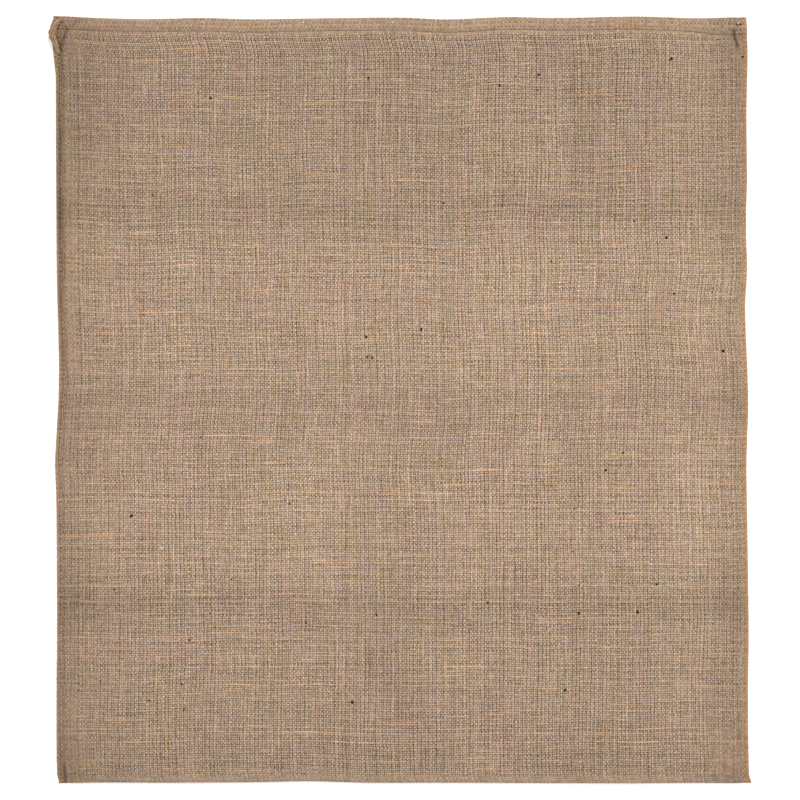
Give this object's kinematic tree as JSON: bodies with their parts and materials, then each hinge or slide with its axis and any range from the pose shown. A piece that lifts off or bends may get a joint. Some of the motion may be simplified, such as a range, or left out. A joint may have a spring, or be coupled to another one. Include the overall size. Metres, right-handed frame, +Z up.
{
  "type": "jute sack",
  "caption": "Large empty hessian sack lying flat, folded at the foot, whip-stitched with twine up both sides, with a turned hem round its open mouth.",
  "frame": {"origin": "middle of the bounding box at its lowest, on the surface the sack lies on", "axes": "+X across the width to the right, +Y up the length towards the open mouth, +Z up out of the front"},
  "size_m": [1.0176, 1.1132, 0.011],
  "materials": {
    "jute_hessian": "coarse open plain weave of raw jute, dull and hairy"
  },
  "bodies": {
    "root": {"sack_cloth": "jute_hessian"}
  },
  "joints": []
}
